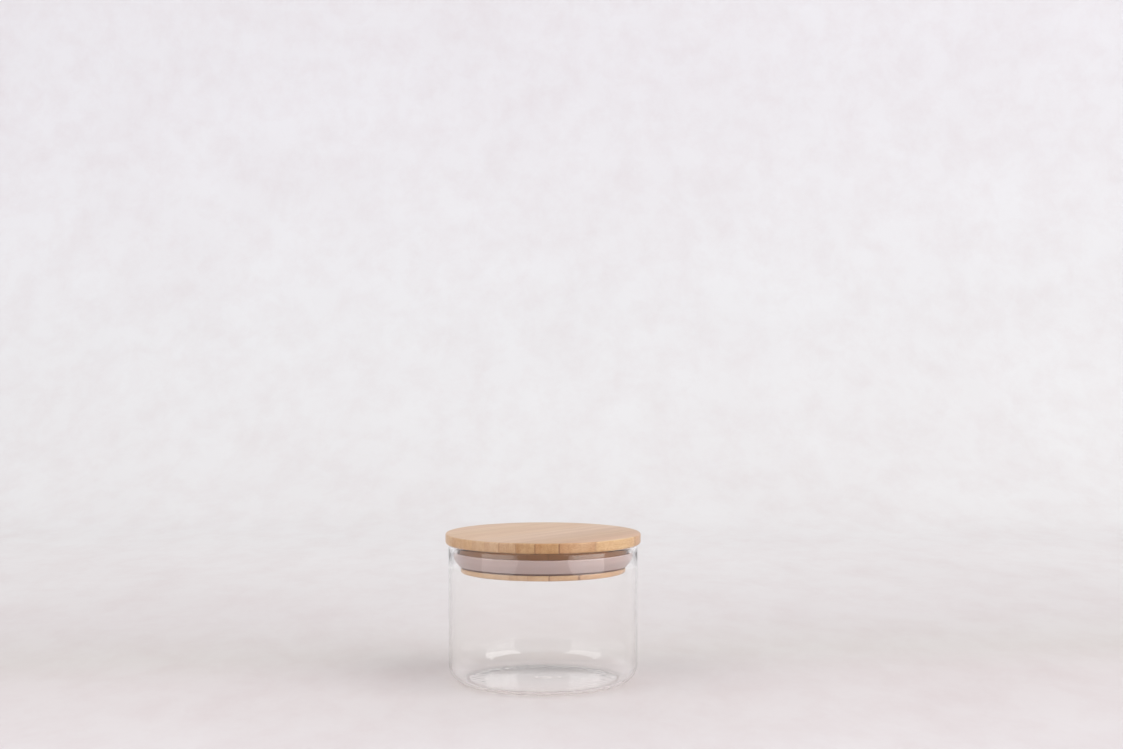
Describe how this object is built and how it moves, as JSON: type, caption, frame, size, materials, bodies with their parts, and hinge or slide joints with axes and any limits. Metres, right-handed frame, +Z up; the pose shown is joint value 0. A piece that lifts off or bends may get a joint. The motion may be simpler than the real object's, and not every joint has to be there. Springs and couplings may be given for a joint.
{
  "type": "lidded glass storage jar",
  "caption": "Round straight-sided clear glass storage jar, empty, closed by a flat bamboo plug lid with a silicone seal.",
  "frame": {"origin": "middle of the standing surface, on the jar's axis", "axes": "+Z up along the jar's axis; the row is round, and +X is to the right and -Y towards the viewer as pictured"},
  "size_m": [0.1032, 0.1032, 0.0785],
  "materials": {
    "clear_glass": "clear, fire-polished",
    "bamboo": "sanded and lacquered, satin",
    "silicone": "translucent, matt"
  },
  "bodies": {
    "root": {"glass_jar": "clear_glass", "bamboo_lid": "bamboo", "silicone_seal": "silicone"}
  },
  "joints": []
}
